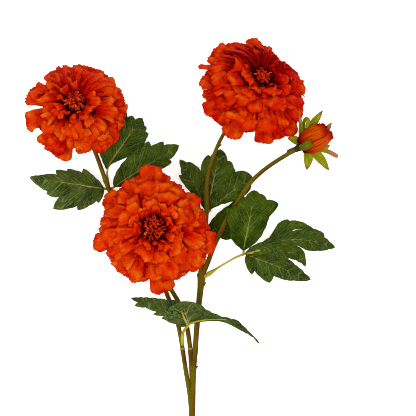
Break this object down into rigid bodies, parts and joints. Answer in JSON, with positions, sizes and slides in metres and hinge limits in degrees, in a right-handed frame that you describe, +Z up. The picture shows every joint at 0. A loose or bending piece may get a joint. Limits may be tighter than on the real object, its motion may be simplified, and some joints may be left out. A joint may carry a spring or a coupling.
{
  "type": "marigold spray",
  "caption": "Cut branching stem lying flat, with ruffled double orange blooms, a half-open bud in a green cup, and toothed compound leaves.",
  "frame": {"origin": "on the resting surface, under the middle of the flat spot near the stem's cut end", "axes": "+Y runs along the spray from the cut end to the blooms, +Z is up from the surface it lies on, and the bud is on the +X side"},
  "size_m": [0.2659, 0.3968, 0.0687],
  "materials": {
    "petal": "soft matt cloth, orange with redder folds",
    "disc": "matt, dark red to orange",
    "stem": "satin olive green with brown flecks",
    "sepal": "satin yellow-green, brown at the tips",
    "leaf": "matt green with paler veins"
  },
  "bodies": {
    "root": {"stem_main": "stem", "branch_left": "stem", "branch_centre": "stem", "branch_bud": "stem", "bloom_left": "petal", "bloom_centre": "petal", "bloom_right": "petal", "disc_left": "disc", "disc_centre": "disc", "disc_right": "disc", "calyx_left": "sepal", "calyx_centre": "sepal", "calyx_right": "sepal", "bud_petals": "petal", "bud_calyx": "sepal", "leaf_left": "leaf", "leaf_behind": "leaf", "leaf_dark": "leaf", "leaf_right": "leaf", "leaf_front": "leaf"}
  },
  "joints": []
}
